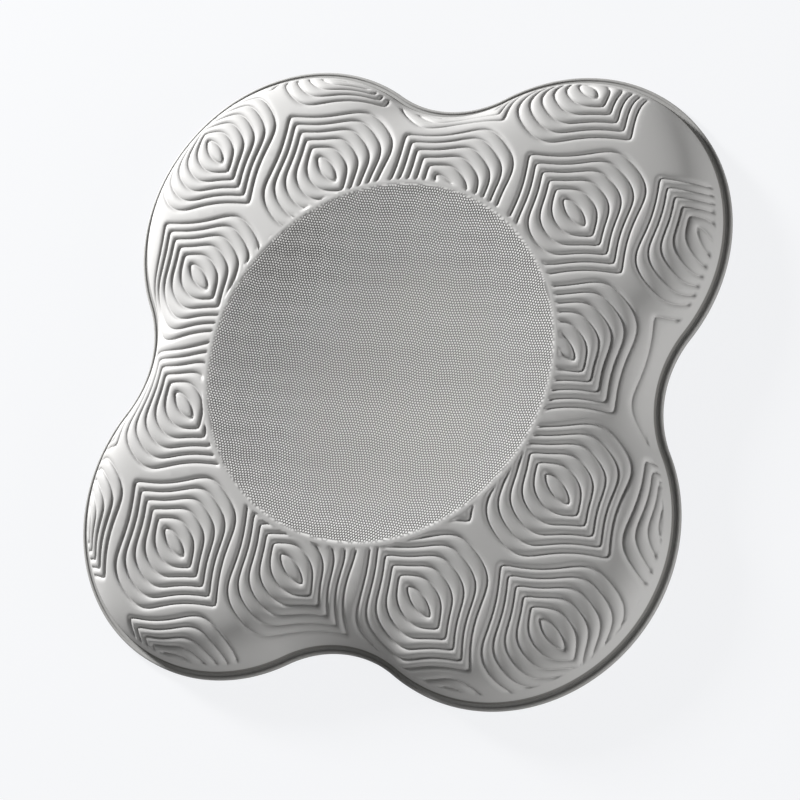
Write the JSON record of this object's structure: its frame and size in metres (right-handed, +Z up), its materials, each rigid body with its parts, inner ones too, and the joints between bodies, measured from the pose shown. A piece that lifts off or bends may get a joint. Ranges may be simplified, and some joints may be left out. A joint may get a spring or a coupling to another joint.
{
  "type": "four-lobed support pad",
  "caption": "Flat four-lobed foam pad with rows of eye-shaped ripple grooves on its lobes and a shallow pebbled dish, to cushion a knee, elbow or wrist on the floor.",
  "frame": {"origin": "middle of the underside, on the floor", "axes": "+Z up out of the dish, notches along X and Y, lobes on the diagonals"},
  "size_m": [0.19, 0.19, 0.0168],
  "materials": {
    "sole": "matt, fine grained",
    "foam": "matt open foam",
    "skin": "satin moulded skin"
  },
  "bodies": {
    "root": {"grip_sole": "sole", "foam_core": "foam", "cover_skin": "skin"}
  },
  "joints": []
}
